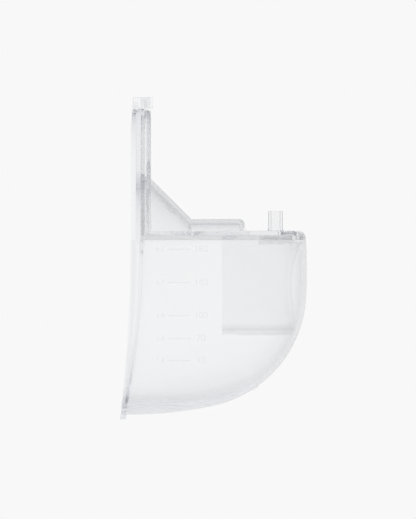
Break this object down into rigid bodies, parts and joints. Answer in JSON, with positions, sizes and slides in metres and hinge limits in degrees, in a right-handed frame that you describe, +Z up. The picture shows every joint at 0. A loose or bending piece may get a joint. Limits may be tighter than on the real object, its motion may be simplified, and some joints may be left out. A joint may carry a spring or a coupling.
{
  "type": "wearable breast pump milk collector",
  "caption": "Clear cup that fits inside a bra, holds milk under suction and pours it from a spout at the top.",
  "frame": {"origin": "centre of the round breast shield opening at the rear of the cup", "axes": "+X away from the wearer, +Z up, Y across the cup, which is symmetric about the XZ plane"},
  "size_m": [0.069, 0.0996, 0.1191],
  "materials": {
    "clear_shell": "clear, moulded",
    "clear_silicone": "clear, soft"
  },
  "bodies": {
    "container": {"milk_bowl": "clear_shell", "back_panel": "clear_shell", "rear_frame": "clear_shell", "vacuum_chamber": "clear_shell"},
    "cover": {"upper_cover": "clear_shell", "cover_gasket": "clear_silicone", "membrane_housing": "clear_shell"},
    "cap": {"port_cap": "clear_shell", "port_cap_seal": "clear_silicone"},
    "membrane": {"backflow_membrane": "clear_silicone"},
    "stopper": {"spout_stopper": "clear_silicone"}
  },
  "joints": [
    {"name": "cover_lift", "type": "slide", "parent": "container", "child": "cover", "axis": [0, 0, 1], "range_m": [0, 0.056]},
    {"name": "cap_pull", "type": "slide", "parent": "cover", "child": "cap", "axis": [0, 0, 1], "range_m": [0, 0.014]},
    {"name": "membrane_stroke", "type": "slide", "parent": "cover", "child": "membrane", "axis": [0, 0, 1], "range_m": [-0.0008, 0.0006], "stiffness_N_per_m": 20},
    {"name": "stopper_pull", "type": "slide", "parent": "cover", "child": "stopper", "axis": [0, 0, 1], "range_m": [0, 0.012]}
  ]
}
